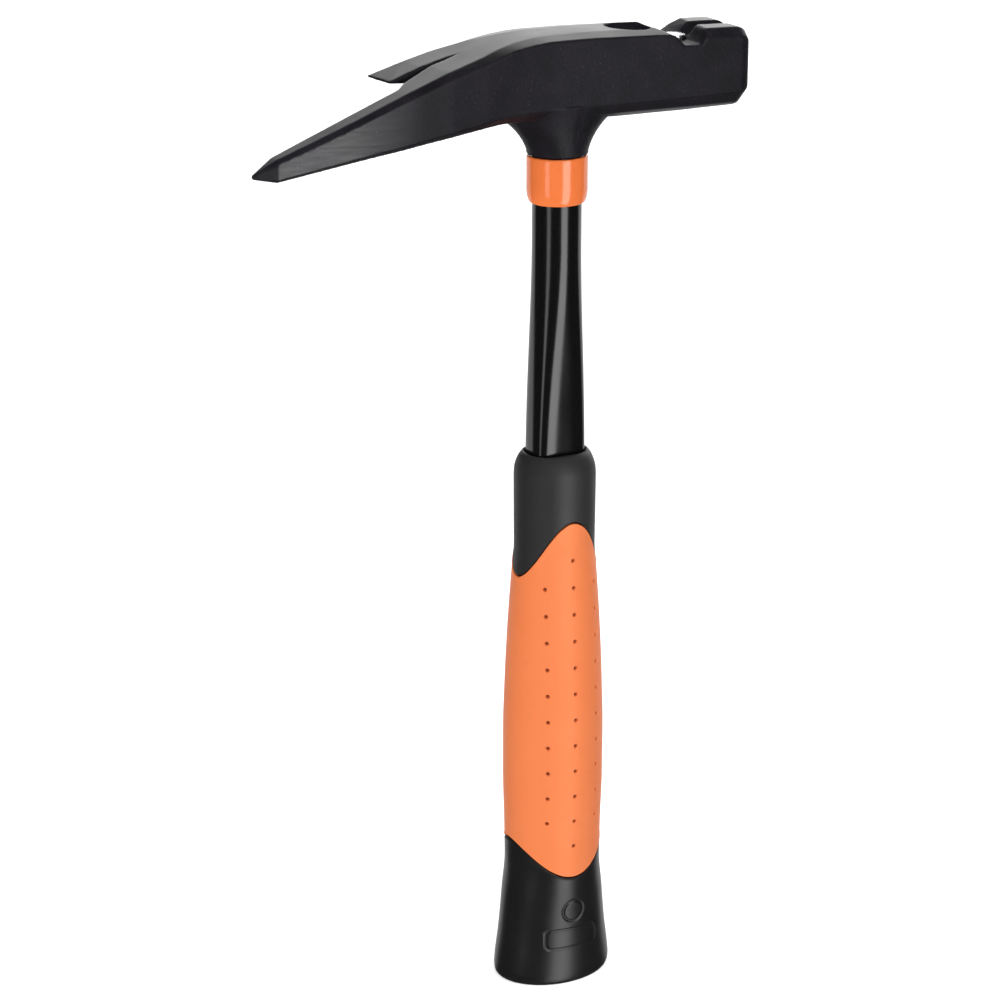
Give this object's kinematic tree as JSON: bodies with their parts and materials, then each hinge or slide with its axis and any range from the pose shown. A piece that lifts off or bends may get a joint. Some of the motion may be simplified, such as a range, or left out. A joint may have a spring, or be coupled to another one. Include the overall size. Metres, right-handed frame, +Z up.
{
  "type": "roofing hammer",
  "caption": "Carpenter's roofing hammer: octagonal striking end with a nail holder, long spike and V-notched claw on a tubular handle with a soft two-colour grip.",
  "frame": {"origin": "centre of the flat underside of the butt, on the handle's axis", "axes": "+Z up the handle to the head, +X towards the striking face, so the spike and claw reach along -X and the longer spike leg lies on the -Y side"},
  "size_m": [0.17, 0.0322, 0.322],
  "materials": {
    "forged_black": "rough black paint over a forged surface, worn smoother on the top",
    "magnet_bright": "bright ground metal",
    "collar_orange": "glossy orange",
    "tube_black": "high-gloss black stove paint",
    "plug_steel": "plain turned steel",
    "plug_plastic": "plain moulded",
    "grip_black": "satin black, slightly glossier on the butt",
    "sleeve_orange": "satin soft orange with small dimples"
  },
  "bodies": {
    "root": {"hammer_head": "forged_black", "nail_magnet": "magnet_bright", "pocket_magnet": "magnet_bright", "neck_collar": "collar_orange", "handle_tube": "tube_black", "spreading_plug": "plug_steel", "tube_end_plug": "plug_plastic", "grip_body": "grip_black", "grip_sleeve": "sleeve_orange"}
  },
  "joints": []
}
